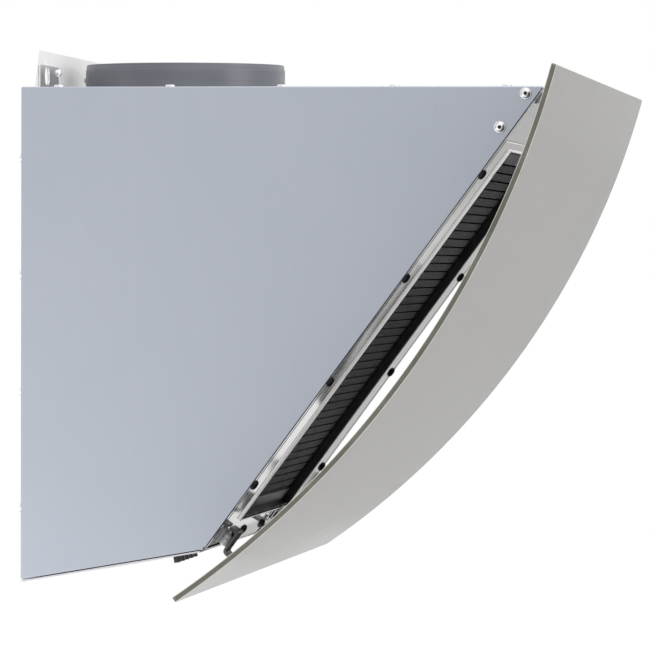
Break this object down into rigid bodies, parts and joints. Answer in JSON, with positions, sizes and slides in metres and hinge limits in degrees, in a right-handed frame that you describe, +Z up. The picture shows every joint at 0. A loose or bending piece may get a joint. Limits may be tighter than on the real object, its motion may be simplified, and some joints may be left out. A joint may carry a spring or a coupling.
{
  "type": "inclined extractor hood",
  "caption": "Inclined wall-hung extractor hood: narrow steel body, wide curved glass front on a top hinge, grease filter, round duct collar and push keys underneath.",
  "frame": {"origin": "on the wall face of the bracket, at the centre line, level with the body top", "axes": "+Z up, +X across the width, +Y into the wall; the front faces -Y"},
  "size_m": [0.898, 0.4044, 0.3865],
  "materials": {
    "brushed_steel_body": "brushed, satin",
    "front_steel": "fine brushed",
    "zinc_plate": "galvanised",
    "bracket_paint": "powder coat, pale",
    "bright_metal": "polished",
    "collar_plastic": "moulded",
    "black_plastic": "moulded",
    "grommet_rubber": "matte",
    "painted_glass": "back-painted, polished edge",
    "white_plastic": "moulded",
    "filter_rail": "dark anodised",
    "filter_mesh": "black mesh",
    "hook_steel": "spring steel",
    "lamp_lens": "frosted"
  },
  "bodies": {
    "hood": {"side_panel_left": "brushed_steel_body", "side_panel_right": "brushed_steel_body", "top_panel": "brushed_steel_body", "rear_panel": "brushed_steel_body", "bottom_panel": "brushed_steel_body", "front_fascia": "front_steel", "front_frame": "front_steel", "side_screw_left_upper": "bright_metal", "side_screw_left_lower": "bright_metal", "side_screw_right_upper": "bright_metal", "side_screw_right_lower": "bright_metal", "wall_bracket": "bracket_paint", "hanger_plate_left": "zinc_plate", "hanger_plate_right": "zinc_plate", "hanger_screw_left": "bright_metal", "hanger_screw_right": "bright_metal", "duct_collar": "collar_plastic", "damper_pin": "zinc_plate", "cable_grommet": "grommet_rubber", "filter_frame": "filter_rail", "filter_pleats": "filter_mesh", "latch_plate": "bright_metal", "button_housing": "black_plastic", "control_box": "white_plastic", "control_lid": "white_plastic", "lamp_ring_left": "bright_metal", "lamp_ring_right": "bright_metal", "lamp_lens_left": "lamp_lens", "lamp_lens_right": "lamp_lens", "blower_scroll": "black_plastic", "motor_can": "zinc_plate", "motor_bracket": "zinc_plate", "capacitor": "white_plastic", "hinge_bracket_left": "zinc_plate", "hinge_bracket_right": "zinc_plate", "catch_housing_left": "zinc_plate", "catch_housing_right": "zinc_plate"},
    "glass_front": {"glass_panel": "painted_glass", "hinge_arm_left": "bright_metal", "hinge_arm_right": "bright_metal", "catch_hook_left": "hook_steel", "catch_hook_right": "hook_steel", "hinge_pin_left": "bright_metal", "hinge_pin_right": "bright_metal"},
    "fan": {"fan_wheel": "zinc_plate", "motor_shaft": "bright_metal"},
    "flap_left": {"damper_flap_left": "collar_plastic"},
    "flap_right": {"damper_flap_right": "collar_plastic"},
    "plunger_left": {"catch_plunger_left": "bright_metal"},
    "plunger_right": {"catch_plunger_right": "bright_metal"},
    "latch": {"filter_latch": "bright_metal"},
    "key_1": {"button_1": "black_plastic"},
    "key_2": {"button_2": "black_plastic"},
    "key_3": {"button_3": "black_plastic"},
    "key_4": {"button_4": "black_plastic"},
    "key_5": {"button_5": "black_plastic"}
  },
  "joints": [
    {"name": "glass_hinge", "type": "hinge", "parent": "hood", "child": "glass_front", "pos_m": [0, -0.37702, -0.0118], "axis": [-1, 0, 0], "range_deg": [0, 70]},
    {"name": "fan_spin", "type": "hinge", "parent": "hood", "child": "fan", "pos_m": [0, -0.135, -0.128], "axis": [1, 0, 0], "continuous": true},
    {"name": "flap_left_hinge", "type": "hinge", "parent": "hood", "child": "flap_left", "pos_m": [0, -0.0874, 0.0115], "axis": [0, 1, 0], "range_deg": [0, 78]},
    {"name": "flap_right_hinge", "type": "hinge", "parent": "hood", "child": "flap_right", "pos_m": [0, -0.0874, 0.0115], "axis": [0, -1, 0], "range_deg": [0, 78]},
    {"name": "catch_left_slide", "type": "slide", "parent": "hood", "child": "plunger_left", "axis": [0, 0.592, -0.8059], "range_m": [0, 0.003], "stiffness_N_per_m": 500, "springref_m": -0.002},
    {"name": "catch_right_slide", "type": "slide", "parent": "hood", "child": "plunger_right", "axis": [0, 0.592, -0.8059], "range_m": [0, 0.003], "stiffness_N_per_m": 500, "springref_m": -0.002},
    {"name": "latch_slide", "type": "slide", "parent": "hood", "child": "latch", "axis": [0, 0.592, -0.8059], "range_m": [0, 0.006], "stiffness_N_per_m": 200, "springref_m": -0.002},
    {"name": "key_1_press", "type": "slide", "parent": "hood", "child": "key_1", "axis": [0, 0.168, 0.9858], "range_m": [0, 0.003], "stiffness_N_per_m": 400, "springref_m": -0.0015},
    {"name": "key_2_press", "type": "slide", "parent": "hood", "child": "key_2", "axis": [0, 0.168, 0.9858], "range_m": [0, 0.003], "stiffness_N_per_m": 400, "springref_m": -0.0015},
    {"name": "key_3_press", "type": "slide", "parent": "hood", "child": "key_3", "axis": [0, 0.168, 0.9858], "range_m": [0, 0.003], "stiffness_N_per_m": 400, "springref_m": -0.0015},
    {"name": "key_4_press", "type": "slide", "parent": "hood", "child": "key_4", "axis": [0, 0.168, 0.9858], "range_m": [0, 0.003], "stiffness_N_per_m": 400, "springref_m": -0.0015},
    {"name": "key_5_press", "type": "slide", "parent": "hood", "child": "key_5", "axis": [0, 0.168, 0.9858], "range_m": [0, 0.003], "stiffness_N_per_m": 400, "springref_m": -0.0015}
  ]
}
